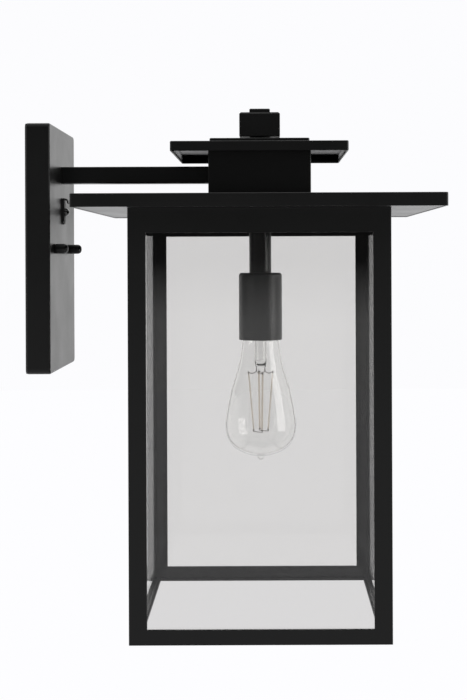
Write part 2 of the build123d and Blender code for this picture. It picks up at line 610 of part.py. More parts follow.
VITRITE_LOW, VITRITE_TOP = BULB_CAP_TOP - VITRITE_SINK, BULB_CONTACT_TOP - BULB_CONTACT_T
with BuildPart() as bulb_insulator:
    with BuildSketch(upright()):
        with BuildLine():
            Polyline(
                (0, VITRITE_LOW), (VITRITE_LOW_R, VITRITE_LOW), (VITRITE_TOP_R, VITRITE_TOP),
                (0, VITRITE_TOP), close=True,
            )
        make_face()
    revolve(axis=CENTRE_LINE)
save(bulb_insulator, "bulb_insulator")

with BuildPart() as bulb_contact:
    with BuildSketch(level(VITRITE_TOP)):
        Circle(BULB_CONTACT_R)
    extrude(amount=BULB_CONTACT_T)
    fillet(bulb_contact.faces().sort_by(Axis.Z)[-1].edges(), radius=BULB_CONTACT_ROUND)
save(bulb_contact, "bulb_contact")

# The glass mount: a flared tube fused into the neck, ending in a flat press that holds the wires.
MOUNT_R, MOUNT_T, MOUNT_LOW, PRESS_LOW = 5.4, 0.8, -101.0, -107.0
FLARE_LOW = -84.0
FLARE_MID, FLARE_TOP = (6.8, -78.2), (10.8, -74.0)
FLARE_MID_IN, FLARE_IN = (6.0, -77.6), (10.2, -73.4)
PRESS_W, PRESS_T, WIRE_FOOT_R = 9.3, 3.6, 3.7
with BuildPart() as bulb_mount:
    with BuildSketch(upright()):
        with BuildLine():
            Polyline((MOUNT_R - MOUNT_T, MOUNT_LOW), (MOUNT_R, MOUNT_LOW), (MOUNT_R, FLARE_LOW))
            ThreePointArc((MOUNT_R, FLARE_LOW), FLARE_MID, FLARE_TOP)
            Line(FLARE_TOP, FLARE_IN)
            ThreePointArc(FLARE_IN, FLARE_MID_IN, (MOUNT_R - MOUNT_T, FLARE_LOW))
            Line((MOUNT_R - MOUNT_T, FLARE_LOW), (MOUNT_R - MOUNT_T, MOUNT_LOW))
        make_face()
    revolve(axis=CENTRE_LINE)
    with BuildSketch(level(PRESS_LOW)):
        SlotOverall(PRESS_W, PRESS_T)
    with BuildSketch(level(MOUNT_LOW)):
        Circle(MOUNT_R)
    loft()
save(bulb_mount, "bulb_mount")


def spoke(turn, radius, height):
    """Point at a turn about the bulb's axis, at a radius and a height."""
    angle = radians(turn)
    return Vector(CENTRE_X + radius * cos(angle), radius * sin(angle), height)


def rod(start, end, radius):
    """Straight round rod between two points, added to the part under construction."""
    with BuildSketch(Plane(origin=start, z_dir=end - start)) as disc:
        Circle(radius)
    extrude(disc.sketch, amount=(end - start).length)


turns = [FILAMENT_TURN + 360 / FILAMENTS * i for i in range(FILAMENTS)]
with BuildPart() as bulb_filaments:
    for turn in turns:
        rod(spoke(turn, *FILAMENT_TOP), spoke(turn, *FILAMENT_END), FILAMENT_R)
save(bulb_filaments, "bulb_filaments")

with BuildPart() as bulb_wires:
    for i, turn in enumerate(turns):
        press_end = 0 if i < FILAMENTS / 2 else 180
        foot = spoke(press_end, WIRE_FOOT_R, PRESS_LOW)
        knee = spoke(press_end, WIRE_FOOT_R, FILAMENT_TOP[1] + KNEE_OVER)
        rod(foot, knee, WIRE_R)
        rod(knee, spoke(turn, FILAMENT_TOP[0], FILAMENT_TOP[1] + HOOK_OVER), WIRE_R)
    ring_at = (CENTRE_X + FILAMENT_END[0], 0, FILAMENT_END[1] - RING_UNDER)
    with BuildSketch(Plane(origin=ring_at, z_dir=(0, 1, 0))):
        Circle(WIRE_R)
    revolve(axis=CENTRE_LINE)
save(bulb_wires, "bulb_wires")


# ---------------------------------------------------------------- leads inside the lantern
def lead(y):
    """One insulated lead: sensor module, arm, collar, down the lamp pipe, to its socket terminal."""
    rise_x, low_z = MODULE_BACK + LEAD_IN, WELL_FLOOR + SCREW_HEAD + LEAD_R
    reach = TERMINAL_Y if y > 0 else -TERMINAL_Y
    with BuildPart() as wire:
        with BuildLine() as path:
            FilletPolyline(
                (rise_x, y, CELL_Z + MODULE_H / 2), (rise_x, y, ARM_Z), (CENTRE_X, y, ARM_Z),
                (CENTRE_X, y, low_z), (CENTRE_X, reach, low_z), radius=LEAD_BENDS,
            )
        with BuildSketch(Plane(path.line @ 0, z_dir=path.line % 0)):
            Circle(LEAD_R)
        sweep(path=path.line)
    return wire


save(lead(LEAD_Y), "lead_black")
save(lead(-LEAD_Y), "lead_white")
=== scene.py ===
import json
from math import cos, pi, radians, sin

import bmesh
import bpy
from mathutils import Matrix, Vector

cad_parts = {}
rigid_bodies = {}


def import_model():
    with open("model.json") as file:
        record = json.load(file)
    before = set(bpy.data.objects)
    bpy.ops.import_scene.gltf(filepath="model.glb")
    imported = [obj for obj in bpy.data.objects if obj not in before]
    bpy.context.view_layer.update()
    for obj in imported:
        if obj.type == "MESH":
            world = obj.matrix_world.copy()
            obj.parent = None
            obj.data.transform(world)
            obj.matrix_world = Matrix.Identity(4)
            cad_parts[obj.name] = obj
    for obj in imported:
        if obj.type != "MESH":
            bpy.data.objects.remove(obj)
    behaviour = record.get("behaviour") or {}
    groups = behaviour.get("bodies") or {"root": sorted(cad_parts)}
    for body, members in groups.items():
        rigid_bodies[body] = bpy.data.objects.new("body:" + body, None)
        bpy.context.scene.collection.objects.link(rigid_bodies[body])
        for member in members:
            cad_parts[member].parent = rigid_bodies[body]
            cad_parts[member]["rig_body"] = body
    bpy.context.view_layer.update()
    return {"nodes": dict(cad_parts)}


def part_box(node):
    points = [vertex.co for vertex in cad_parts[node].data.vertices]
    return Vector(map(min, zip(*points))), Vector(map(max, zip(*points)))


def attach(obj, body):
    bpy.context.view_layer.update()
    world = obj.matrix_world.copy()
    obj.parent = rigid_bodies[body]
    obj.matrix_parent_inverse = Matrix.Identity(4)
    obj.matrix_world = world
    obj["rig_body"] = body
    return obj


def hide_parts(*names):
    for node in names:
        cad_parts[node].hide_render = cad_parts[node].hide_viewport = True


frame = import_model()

NODES = frame["nodes"]

# ------------------------------------------------------------------ camera
# A long lens, square to the lantern's side but for a quarter degree of roll, so that the uprights stay
# upright. The lens shift frames the lantern instead of a tilt.
LENS, SENSOR, VIEW_DEPTH = 65.2114, 36.0, 60.0
SHIFT_X, SHIFT_Y = -0.049286, -0.134286
CAMERA_AT = Vector((0.206, -1.144, -0.007))
CAMERA_ROLL = 0.004

scene = bpy.context.scene
lens = bpy.data.cameras.new("camera")
lens.sensor_fit = "VERTICAL"
lens.sensor_height = SENSOR
lens.lens = LENS
lens.shift_x = SHIFT_X
lens.shift_y = SHIFT_Y
lens.clip_end = VIEW_DEPTH
camera = bpy.data.objects.new("camera", lens)
camera.location = CAMERA_AT
camera.rotation_euler = (pi / 2, CAMERA_ROLL, 0)
scene.collection.objects.link(camera)
scene.camera = camera

# ------------------------------------------------------------------ studio
# A white sweep behind and below the lantern, and an unlit room behind the camera. Straight views, and
# views through the glass, meet plain white; only reflections and soft light feel the darker side.
WHITE, BACKDROP = (0.9735, 0.9735, 0.991, 1), 1.1
ROOM_DARK, CEILING, FRONT_FLOOR = 0.055, 0.7, 0.66
FLOOR_AT, FLOOR_HALF = -1.6, 14.0
PAPER, PAPER_ROUGH, PAPER_GLOW = (0.02, 0.02, 0.02, 1), 0.9, (0.968, 0.968, 0.986, 1)
RIGHT_AT, RIGHT_AIM, RIGHT_SIZE, RIGHT_POWER = (2.4, -0.8, 0.3), (0.2, 0, -0.1), (1.3, 2.2), 34.0
LEFT_AT, LEFT_AIM, LEFT_SIZE, LEFT_POWER = (-2.0, -1.9, -0.2), (0.1, 0, -0.1), (1.0, 1.0), 5.0


def wire(tree, kind, inputs=(), **settings):
    """Adds a node, sets its properties and its inputs (values or other sockets), and returns it."""
    node = tree.nodes.new(kind)
    for name, value in settings.items():
        setattr(node, name, value)
    for name, value in dict(inputs).items():
        if isinstance(value, bpy.types.NodeSocket):
            tree.links.new(value, node.inputs[name])
        else:
            node.inputs[name].default_value = value
    return node


def compute(tree, operation, first, second=0.0):
    """Math on two values or sockets; gives the result's socket."""
    return wire(tree, "ShaderNodeMath", {0: first, 1: second}, operation=operation).outputs[0]


def remap(tree, value, low, high, to_low=0.0, to_high=1.0):
    """Clamped map of a value from low..high to another range; gives the result's socket."""
    spans = {"Value": value, "From Min": low, "From Max": high, "To Min": to_low, "To Max": to_high}
    return wire(tree, "ShaderNodeMapRange", spans).outputs[0]


def mixed(tree, share, first, second):
    """Colour mix by a share; gives the result's socket."""
    node = wire(tree, "ShaderNodeMix", {0: share, 6: first, 7: second}, data_type="RGBA")
    return node.outputs[2]


scene.view_settings.view_transform = "Standard"
world = bpy.data.worlds.new("studio")
scene.world = world
world.use_nodes = True
sky = world.node_tree
sky.nodes.clear()
heading = wire(sky, "ShaderNodeSeparateXYZ", {0: wire(sky, "ShaderNodeTexCoord").outputs["Generated"]})
backdrop = remap(sky, heading.outputs["Y"], -0.35, 0.3, 0.0, BACKDROP)
front_floor = remap(sky, heading.outputs["Y"], 0.2, -0.2, 1.0, FRONT_FLOOR)
sweep = compute(sky, "MULTIPLY", remap(sky, heading.outputs["Z"], 0.0, -0.05), front_floor)
ceiling = remap(sky, heading.outputs["Z"], 0.3, 0.95, ROOM_DARK, CEILING)
room = compute(sky, "MAXIMUM", compute(sky, "MAXIMUM", backdrop, sweep), ceiling)
path = wire(sky, "ShaderNodeLightPath")
bounces = compute(sky, "ADD", path.outputs["Glossy Depth"], path.outputs["Diffuse Depth"])
felt = compute(sky, "MINIMUM", bounces, 1.0)
felt_light = wire(sky, "ShaderNodeBackground", {"Color": (1, 1, 1, 1), "Strength": room})
seen_light = wire(sky, "ShaderNodeBackground", {"Color": WHITE, "Strength": 1.0})
glow = wire(sky, "ShaderNodeMixShader", {0: felt, 1: seen_light.outputs[0], 2: felt_light.outputs[0]})
wire(sky, "ShaderNodeOutputWorld", {"Surface": glow.outputs[0]})


def new_piece(name, build):
    """An object at the origin whose mesh is what build(bm) makes, in metres, with its faces outwards."""
    bm = bmesh.new()
    build(bm)
    data = bpy.data.meshes.new(name)
    bm.to_mesh(data)
    bm.free()
    piece = bpy.data.objects.new(name, data)
    scene.collection.objects.link(piece)
    return piece


def floor_sheet(bm):
    corners = ((-1, -1), (1, -1), (1, 1), (-1, 1))
    bm.faces.new([bm.verts.new((x * FLOOR_HALF, y * FLOOR_HALF, FLOOR_AT)) for x, y in corners])


floor = new_piece("floor", floor_sheet)
paper = bpy.data.materials.new("floor_paper")
paper.use_nodes = True
page = paper.node_tree
sheet = page.nodes["Principled BSDF"]
sheet.inputs["Base Color"].default_value = PAPER
sheet.inputs["Roughness"].default_value = PAPER_ROUGH
sheet.inputs["Specular IOR Level"].default_value = 0.0
sheet.inputs["Emission Color"].default_value = PAPER_GLOW
spot = wire(page, "ShaderNodeTexCoord").outputs["Object"]
depth = wire(page, "ShaderNodeSeparateXYZ", {0: spot}).outputs["Y"]
ahead = remap(page, depth, 0.5, -1.5, 1.0, FRONT_FLOOR)
path = wire(page, "ShaderNodeLightPath")
felt = compute(page, "ADD", path.outputs["Glossy Depth"], path.outputs["Diffuse Depth"])
glow = wire(page, "ShaderNodeMix", {0: felt, 2: 1.0, 3: ahead}, data_type="FLOAT", clamp_factor=True)
page.links.new(glow.outputs[0], sheet.inputs["Emission Strength"])
floor.data.materials.append(paper)


def soft_box(name, place, aim, size, power):
    """Rectangular studio light at a place, facing a point."""
    lamp = bpy.data.lights.new(name, "AREA")
    lamp.shape = "RECTANGLE"
    lamp.size, lamp.size_y = size
    lamp.energy = power
    box = bpy.data.objects.new(name, lamp)
    box.location = place
    box.rotation_euler = (Vector(aim) - Vector(place)).to_track_quat("-Z", "Y").to_euler()
    scene.collection.objects.link(box)


soft_box("right_box", RIGHT_AT, RIGHT_AIM, RIGHT_SIZE, RIGHT_POWER)
soft_box("left_box", LEFT_AT, LEFT_AIM, LEFT_SIZE, LEFT_POWER)

# ------------------------------------------------------------------ back plate
# Pressed steel pan with rounded front edges, powder coated in fine satin black, on a foam gasket.
# The coat is the finish of every black piece: a fine peel, slight clouds in its gloss, pin-point dust.
COAT_GRAIN, COAT_CLOUD, COAT_SPECK = 1500.0, 22.0, 420.0
COAT_DEEP, COAT_PALE, COAT_DUST = (0.8, 0.82, 0.8), (1.2, 1.22, 1.18), (3, 3, 2.9)
COAT_DUSTY, COAT_SPREAD, FINE_RELIEF = 0.35, 0.03, 0.0001


def coated(name, dark, rough, peel, shine=0.26):
    """Satin powder coat: fine peel as bump, clouds and dust in its colour and roughness."""
    coat = bpy.data.materials.new(name)
    coat.use_nodes = True
    tree = coat.node_tree
    skin = tree.nodes["Principled BSDF"]
    where = wire(tree, "ShaderNodeTexCoord").outputs["Object"]
    grain = wire(tree, "ShaderNodeTexNoise", {"Vector": where, "Scale": COAT_GRAIN, "Detail": 3.0})
    cloud = wire(tree, "ShaderNodeTexNoise", {"Vector": where, "Scale": COAT_CLOUD, "Detail": 5.0})
    cloud = cloud.outputs["Fac"]
    speck = wire(tree, "ShaderNodeTexVoronoi", {"Vector": where, "Scale": COAT_SPECK}).outputs["Distance"]
    deep, pale, dusty = ([dark * c for c in shade] + [1] for shade in (COAT_DEEP, COAT_PALE, COAT_DUST))
    tint = mixed(tree, cloud, deep, pale)
    dust = mixed(tree, remap(tree, speck, 0.10, 0.04, 0.0, COAT_DUSTY), tint, dusty)
    tree.links.new(dust, skin.inputs["Base Color"])
    gloss = remap(tree, cloud, 0.3, 0.7, rough - COAT_SPREAD, rough + COAT_SPREAD)
    tree.links.new(gloss, skin.inputs["Roughness"])
    height = {"Height": grain.outputs["Fac"], "Strength": peel, "Distance": FINE_RELIEF}
    relief = wire(tree, "ShaderNodeBump", height)
    tree.links.new(relief.outputs[0], skin.inputs["Normal"])
    skin.inputs["Specular IOR Level"].default_value = shine
    return coat


def finish(material, *names):
    """Gives CAD nodes one material."""
    for name in names:
        NODES[name].data.materials.clear()
        NODES[name].data.materials.append(material)


black_coat = coated("black_powder_coat", 0.0050, 0.31, 0.25)
finish(black_coat, "backplate")

FOAM_CELL, FOAM_DARK, FOAM_PALE, FOAM_ROUGH = 1100.0, (0.03, 0.03, 0.03, 1), (0.06, 0.06, 0.058, 1), 0.85
foam = bpy.data.materials.new("foam_gasket")
foam.use_nodes = True
tree = foam.node_tree
where = wire(tree, "ShaderNodeTexCoord").outputs["Object"]
cells = wire(tree, "ShaderNodeTexVoronoi", {"Vector": where, "Scale": FOAM_CELL}).outputs["Distance"]
skin = tree.nodes["Principled BSDF"]
tree.links.new(mixed(tree, cells, FOAM_DARK, FOAM_PALE), skin.inputs["Base Color"])
relief = wire(tree, "ShaderNodeBump", {"Height": cells, "Strength": 0.6, "Distance": 0.0003})
tree.links.new(relief.outputs[0], skin.inputs["Normal"])
skin.inputs["Roughness"].default_value = FOAM_ROUGH
finish(foam, "wall_gasket")

# ------------------------------------------------------------------ cap nuts
# Two plain round steel cap nuts that hold the plate on its studs, turned from bar with a full round tip
# and coated with the plate. Each has a blind bore and turns on its own stud.
NUT_TIP, NUT_BASE_EDGE, NUT_WALL, NUT_SPARE = 0.0036, 0.0005, 0.0020, 0.0006
ROUND_SIDES, ARC_STEPS, ON_AXIS = 64, 8, 1e-7


def arc(middle, radius, start, end, steps=ARC_STEPS):
    """Points on an arc of a profile, angles in degrees: (across, along) pairs."""
    turns = [radians(start + (end - start) * i / steps) for i in range(steps + 1)]
    return [(middle[0] + radius * cos(t), middle[1] + radius * sin(t)) for t in turns]


def skin_rings(bm, rings, closed=False):
    """Faces between rings of points; a ring of one point closes an end to a pole."""
    made = [[bm.verts.new(p) for p in ring] for ring in rings]
    pairs = list(zip(made, made[1:])) + ([(made[-1], made[0])] if closed else [])
    for one, two in pairs:
        count = max(len(one), len(two))
        for i in range(count):
            j = (i + 1) % count
            corners = [one[i % len(one)], one[j % len(one)], two[j % len(two)], two[i % len(two)]]
            bm.faces.new(list(dict.fromkeys(corners)))
    bmesh.ops.recalc_face_normals(bm, faces=bm.faces)


def turned(bm, outline, foot, along, sides=ROUND_SIDES):
    """Solid of revolution: outline of (radius, distance) pairs from a foot point along an axis."""
    along = Vector(along).normalized()
    across = along.orthogonal().normalized()
    other = along.cross(across)
    rings = []
    for radius, distance in outline:
        middle = Vector(foot) + along * distance
        steps = sides if radius > ON_AXIS else 1
        rings.append([middle + radius * (across * cos(2 * pi * i / sides) + other * sin(2 * pi * i / sides))
                      for i in range(steps)])
    skin_rings(bm, rings, closed=outline[0][0] > ON_AXIS and outline[-1][0] > ON_AXIS)


SMOOTH_UNDER = radians(32)


def placed(piece, material, body, slot, *nodes):
    """Smooths a finished piece, gives it a material, and lets it ride in place of its CAD nodes."""
    piece.data.materials.append(material)
    piece.data.shade_smooth()
    piece.data.set_sharp_from_angle(angle=SMOOTH_UNDER)
    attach(piece, body)
    if nodes:
        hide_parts(*nodes)
    return piece


for side in ("near", "far"):
    low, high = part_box(f"cap_nut_{side}")
    foot = (low.x, (low.y + high.y) / 2, (low.z + high.z) / 2)
    radius, length = (high.z - low.z) / 2, high.x - low.x
    bore_end, bore_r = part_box("strap_studs")[1].x - low.x + NUT_SPARE, radius - NUT_WALL
    knob = [(0, bore_end), (bore_r, bore_end), (bore_r, 0)]
    knob += [(radius - NUT_BASE_EDGE, 0), (radius, NUT_BASE_EDGE)]
    knob += arc((radius - NUT_TIP, length - NUT_TIP), NUT_TIP, 0, 90) + [(0, length)]
    nut = new_piece(f"cap_nut_{side}_turned", lambda bm: turned(bm, knob, foot, (1, 0, 0)))
    placed(nut, black_coat, f"cap_nut_{side}", "black_powder_coat", f"cap_nut_{side}")

# ------------------------------------------------------------------ dusk sensor
# A small moulded bezel on the plate front with a curled rain hood over a smoked lens dome. The sealed
# white module behind it switches the lamp.
BEZEL_THICK, BEZEL_EDGE, BEZEL_CORNER, LENS_HOLE = 0.0021, 0.0006, 0.0024, 0.0037
HOOD_THICK, HOOD_SIDE, HOOD_UNDER, HOOD_NARROW, HOOD_LIP = 0.0013, 0.0006, 0.0002, 0.0007, 0.0009
MOULD_TINT, MOULD_SPREAD = 0.15, 0.06


def moulded(name, colour, rough, grain_scale, grain_depth):
    """Moulded plastic with a fine even grain."""
    plastic = bpy.data.materials.new(name)
    plastic.use_nodes = True
    tree = plastic.node_tree
    skin = tree.nodes["Principled BSDF"]
    where = wire(tree, "ShaderNodeTexCoord").outputs["Object"]
    grain = wire(tree, "ShaderNodeTexNoise", {"Vector": where, "Scale": grain_scale, "Detail": 4.0})
    grain = grain.outputs["Fac"]
    deep, pale = ([share * c for c in colour] + [1] for share in (1 - MOULD_TINT, 1 + MOULD_TINT))
    tree.links.new(mixed(tree, grain, deep, pale), skin.inputs["Base Color"])
    gloss = remap(tree, grain, 0.3, 0.7, rough - MOULD_SPREAD, rough + MOULD_SPREAD)
    tree.links.new(gloss, skin.inputs["Roughness"])
    height = {"Height": grain, "Strength": grain_depth, "Distance": FINE_RELIEF}
    relief = wire(tree, "ShaderNodeBump", height)
    tree.links.new(relief.outputs[0], skin.inputs["Normal"])
    return plastic


def rounded_outline(width, height, radius, steps=6):
    """Points of a rectangle with round corners about its middle, anticlockwise."""
    points = []
    for i, (sx, sy) in enumerate(((1, 1), (-1, 1), (-1, -1), (1, -1))):
        middle = (sx * (width / 2 - radius), sy * (height / 2 - radius))
        points += arc(middle, radius, 90 * i, 90 * i + 90, steps)
    return points


def plate_and_hood(bm):
    low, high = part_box("photocell_bezel")
    lens_low, lens_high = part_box("photocell_lens")
    plate_front = low.x + BEZEL_THICK
    middle, lens_z = (low + high) / 2, (lens_low.z + lens_high.z) / 2
    wide, tall = high.y - low.y, high.z - low.z
    outline = rounded_outline(wide, tall, BEZEL_CORNER)
    front = [(y * (1 - 2 * BEZEL_EDGE / wide), z * (1 - 2 * BEZEL_EDGE / tall)) for y, z in outline]
    rings = [[Vector((x, middle.y + y, middle.z + z)) for y, z in ring]
             for x, ring in ((low.x, outline), (plate_front - BEZEL_EDGE, outline), (plate_front, front))]
    hole = []
    for y, z in outline:
        turn = Vector((y, middle.z + z - lens_z)).normalized() * LENS_HOLE
        hole.append((turn.x, lens_z + turn.y))
    rings += [[Vector((x, middle.y + y, z)) for y, z in hole] for x in (plate_front, low.x)]
    skin_rings(bm, rings, closed=True)

    out, top, half = high.x - plate_front, high.z - HOOD_UNDER, wide / 2 - HOOD_NARROW
    crest, lip = top - out, top - out - HOOD_LIP
    curl = [(plate_front + p[0], crest + p[1]) for p in arc((0, 0), out, 90, 0)]
    curl += [(plate_front + out, lip), (plate_front + out - HOOD_THICK, lip)]
    curl += [(plate_front + p[0], crest + p[1]) for p in arc((0, 0), out - HOOD_THICK, 0, 90)]
    sides = ((-half, -HOOD_SIDE), (-half + HOOD_SIDE, 0), (half - HOOD_SIDE, 0), (half, -HOOD_SIDE))
    hood = []
    for y, drop in sides:
        falls = [drop if i < len(curl) / 2 else 0 for i in range(len(curl))]
        hood.append([Vector((x, middle.y + y, z + fall)) for (x, z), fall in zip(curl, falls)])
    made = [[bm.verts.new(p) for p in ring] for ring in hood]
    for one, two in zip(made, made[1:]):
        for i in range(len(curl)):
            j = (i + 1) % len(curl)
            bm.faces.new([one[i], one[j], two[j], two[i]])
    bm.faces.new(made[0])
    bm.faces.new(made[-1])
    bmesh.ops.recalc_face_normals(bm, faces=bm.faces)


sensor_black = moulded("sensor_black", (0.008, 0.008, 0.008), 0.5, 2600.0, 0.3)
bezel = new_piece("sensor_bezel", plate_and_hood)
placed(bezel, sensor_black, "lantern", "sensor_black", "photocell_bezel")

DOME_FLAT, DOME_STEP, DOME_SIDES = 0.72, 15, 48
low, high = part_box("photocell_lens")
dome, lens_foot = (high.z - low.z) / 2, (low.x, (low.y + high.y) / 2, (low.z + high.z) / 2)
rim = high.x - low.x - DOME_FLAT * dome
lens_shape = [(0, 0), (dome, 0), (dome, rim)]
lens_shape += [(dome * cos(radians(a)), rim + DOME_FLAT * dome * sin(radians(a)))
               for a in range(DOME_STEP, 90, DOME_STEP)]
lens_shape += [(0, high.x - low.x)]
smoked = moulded("sensor_lens", (0.006, 0.005, 0.005), 0.12, 300.0, 0.05)
smoked.node_tree.nodes["Principled BSDF"].inputs["Coat Weight"].default_value = 0.6
lens_dome = new_piece("sensor_lens_dome",
                      lambda bm: turned(bm, lens_shape, lens_foot, (1, 0, 0), DOME_SIDES))
placed(lens_dome, smoked, "lantern", "sensor_lens", "photocell_lens")
finish(moulded("module_case", (0.72, 0.72, 0.69), 0.45, 1800.0, 0.25), "photocell_module")

# ------------------------------------------------------------------ mounting hardware
# Zinc plated steel: a pressed cross strap with slots for the wall box, its studs and lock nuts, the ground
# screw, and the nipple, plug and nut that hold the arm to the plate.
METAL_BLOTS, METAL_SPREAD = 140.0, 0.1


def metal(name, bright, dull, rough, streak=(40.0, 40.0, 900.0), depth=0.15):
    """Bare metal with fine streaks and blotches, in colour, gloss and relief."""
    plate = bpy.data.materials.new(name)
    plate.use_nodes = True
    tree = plate.node_tree
    skin = tree.nodes["Principled BSDF"]
    where = wire(tree, "ShaderNodeTexCoord").outputs["Object"]
    along = wire(tree, "ShaderNodeMapping", {"Vector": where, "Scale": streak}).outputs[0]
    lines = wire(tree, "ShaderNodeTexNoise", {"Vector": along, "Scale": 1.0, "Detail": 5.0}).outputs["Fac"]
    blots = wire(tree, "ShaderNodeTexNoise", {"Vector": where, "Scale": METAL_BLOTS, "Detail": 6.0})
    blots = blots.outputs["Fac"]
    tree.links.new(mixed(tree, blots, bright + (1,), dull + (1,)), skin.inputs["Base Color"])
    worn = compute(tree, "MULTIPLY", compute(tree, "ADD", lines, blots), 0.5)
    gloss = remap(tree, worn, 0.35, 0.65, rough - METAL_SPREAD, rough + METAL_SPREAD)
    tree.links.new(gloss, skin.inputs["Roughness"])
    relief = wire(tree, "ShaderNodeBump", {"Height": lines, "Strength": depth, "Distance": FINE_RELIEF})
    tree.links.new(relief.outputs[0], skin.inputs["Normal"])
    skin.inputs["Metallic"].default_value = 1.0
    return plate


zinc = metal("zinc_steel", (0.62, 0.63, 0.61), (0.42, 0.43, 0.44), 0.36)
finish(zinc, "mounting_strap", "strap_studs", "stud_locknuts", "arm_plug", "arm_nipple", "arm_nut",
       "lamp_pipe", "pipe_nuts", "roof_spacer", "socket_bracket", "socket_screws", "glass_clips")
finish(metal("ground_green", (0.03, 0.30, 0.08), (0.02, 0.18, 0.06), 0.35), "ground_screw")

# ------------------------------------------------------------------ arm, roofs and collar
# Folded and welded steel sheet, coated black: a square arm, a hollow collar on the main roof, a shallow
# upper roof pan over it and a smaller cap. The lamp pipe inside clamps the stack together.
SOFT_EDGE = 0.0005
ROOF_EDGE = 0.0008
LONG_EDGE, SHARP_OVER, FLAT_UNDER, SAME_POINT = 0.95, radians(40), 0.01, 1e-6


def softened(name, along=None, width=SOFT_EDGE):
    """Copy of a flat-sided CAD node with its outer edges rounded, all of them or those along one axis."""
    def build(bm):
        bm.from_mesh(NODES[name].data)
        bmesh.ops.remove_doubles(bm, verts=bm.verts, dist=SAME_POINT)
        bmesh.ops.dissolve_limit(bm, angle_limit=FLAT_UNDER, verts=bm.verts, edges=bm.edges)
        edges = []
        for e in bm.edges:
            sharp = e.is_convex and len(e.link_faces) == 2 and e.calc_face_angle() > SHARP_OVER
            line = (e.verts[1].co - e.verts[0].co).normalized()
            if sharp and (along is None or abs(line.dot(Vector(along))) > LONG_EDGE):
                edges.append(e)
        bmesh.ops.bevel(bm, geom=edges, offset=width, segments=3, profile=0.5, affect="EDGES",
                        clamp_overlap=True)
        bmesh.ops.triangulate(bm, faces=[f for f in bm.faces if len(f.verts) > 4])
    piece = new_piece(f"{name}_soft", build)
    piece.modifiers.new("flat_faces_stay_flat", "WEIGHTED_NORMAL").keep_sharp = True
    placed(piece, black_coat, NODES[name]["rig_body"], "black_powder_coat", name)


for name in ("roof_pan", "upper_roof", "upper_cap", "collar"):
    softened(name, width=ROOF_EDGE)
softened("arm_tube", (1, 0, 0))
finish(black_coat, "roof_soffit")

# ------------------------------------------------------------------ finial
# Solid cast block with bevelled edges and a small square button on top, on a round washer. Block and
# button turn together on the lamp pipe's thread.
finish(black_coat, "finial", "finial_button", "finial_washer")

# ------------------------------------------------------------------ cage
# Angle steel: two mitred rings joined by four corner posts, welded, ground flush and coated. Only the
# long outer edges are rounded, so the joints stay closed.
SIDES = ("near", "out", "far", "wall")
for i, side in enumerate(SIDES):
    run = (1, 0, 0) if side in ("near", "far") else (0, 1, 0)
    softened(f"top_rail_{side}", run)
    softened(f"bottom_rail_{side}", run)
    softened(f"post_{SIDES[i - 1]}_{side}", (0, 0, 1))

# ------------------------------------------------------------------ panes and clips
# Four clear float glass panes stand on the bottom ring's ledge and are held at the top by sprung clips,
# each on one pan head screw through the top ring and the soffit.
# All four panes are the same clear glass. The near pane's darker colour is painted shade that dims
# everything seen through the cage.
CLEAR, NEAR_PANE_SHADE = (0.99, 0.988, 0.982), (0.718, 0.710, 0.701)
CLEAR_INDEX, NEAR_INDEX = 1.33, 1.5
GLASS_WAVE, GLASS_DEEP, GLASS_HAZE = 9.0, 0.995, 0.008


def glass(name, colour, index):
    """Clear glass with very faint waviness."""
    clear = bpy.data.materials.new(name)
    clear.use_nodes = True
    tree = clear.node_tree
    body = tree.nodes["Principled BSDF"]
    where = wire(tree, "ShaderNodeTexCoord").outputs["Object"]
    wave = wire(tree, "ShaderNodeTexNoise", {"Vector": where, "Scale": GLASS_WAVE, "Detail": 1.0})
    wave = wave.outputs["Fac"]
    deep, pale = ([share * c for c in colour] + [1] for share in (GLASS_DEEP, 1.0))
    tree.links.new(mixed(tree, wave, deep, pale), body.inputs["Base Color"])
    tree.links.new(remap(tree, wave, 0.3, 0.7, 0.0, GLASS_HAZE), body.inputs["Roughness"])
    relief = wire(tree, "ShaderNodeBump", {"Height": wave, "Strength": 0.04, "Distance": 0.0002})
    tree.links.new(relief.outputs[0], body.inputs["Normal"])
    body.inputs["Transmission Weight"].default_value = 1.0
    body.inputs["IOR"].default_value = index
    return clear


pane_glass = glass("clear_glass", CLEAR, CLEAR_INDEX)
finish(pane_glass, *(f"glass_{side}" for side in SIDES))
# The near pane gets a darker copy of the glass: painted shade over the view through the cage.
finish(glass("tinted_glass", NEAR_PANE_SHADE, NEAR_INDEX), "glass_near")


HEAD_FALL, HEAD_CURVE, RECESS_REACH, RECESS_LIFT = 0.55, 2.5, 1.15, 1.05


